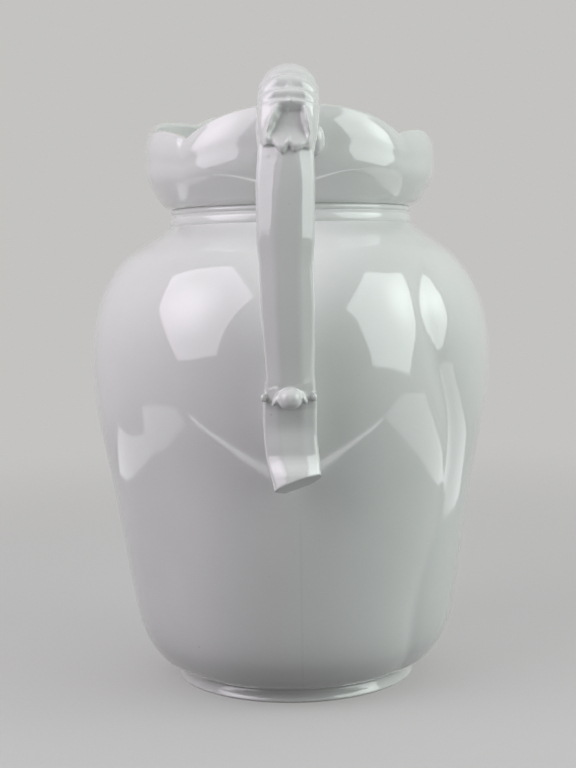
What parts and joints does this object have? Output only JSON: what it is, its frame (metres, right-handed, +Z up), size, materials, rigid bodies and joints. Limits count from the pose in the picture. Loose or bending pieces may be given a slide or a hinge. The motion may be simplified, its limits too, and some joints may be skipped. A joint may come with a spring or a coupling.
{
  "type": "ironstone pitcher",
  "caption": "Free-standing glazed pottery water pitcher: lobed swelling body on a foot ring, reeded collar, scalloped lip with a spout, upright moulded handle.",
  "frame": {"origin": "on the surface that the pitcher stands on, under the middle of its outline", "axes": "+Z up, -Y towards the handle, +Y towards the spout, +X to the right seen from behind the handle; the axis of the pot is parallel to Z, 13.9 mm towards +Y"},
  "size_m": [0.2046, 0.2312, 0.3002],
  "materials": {
    "ironstone_glaze": "glossy clear glaze over a cool white body",
    "foot_glaze": "glossy glaze, wiped and worn thin where the foot rests"
  },
  "bodies": {
    "root": {"foot_ring": "foot_glaze", "base_disc": "ironstone_glaze", "body_left": "ironstone_glaze", "body_right": "ironstone_glaze", "collar_band": "ironstone_glaze", "lip_left": "ironstone_glaze", "lip_right": "ironstone_glaze", "handle_upper_root": "ironstone_glaze", "handle_stem": "ironstone_glaze", "handle_leaf": "ironstone_glaze", "handle_knop": "ironstone_glaze", "handle_tail": "ironstone_glaze", "handle_lower_root": "ironstone_glaze"}
  },
  "joints": []
}
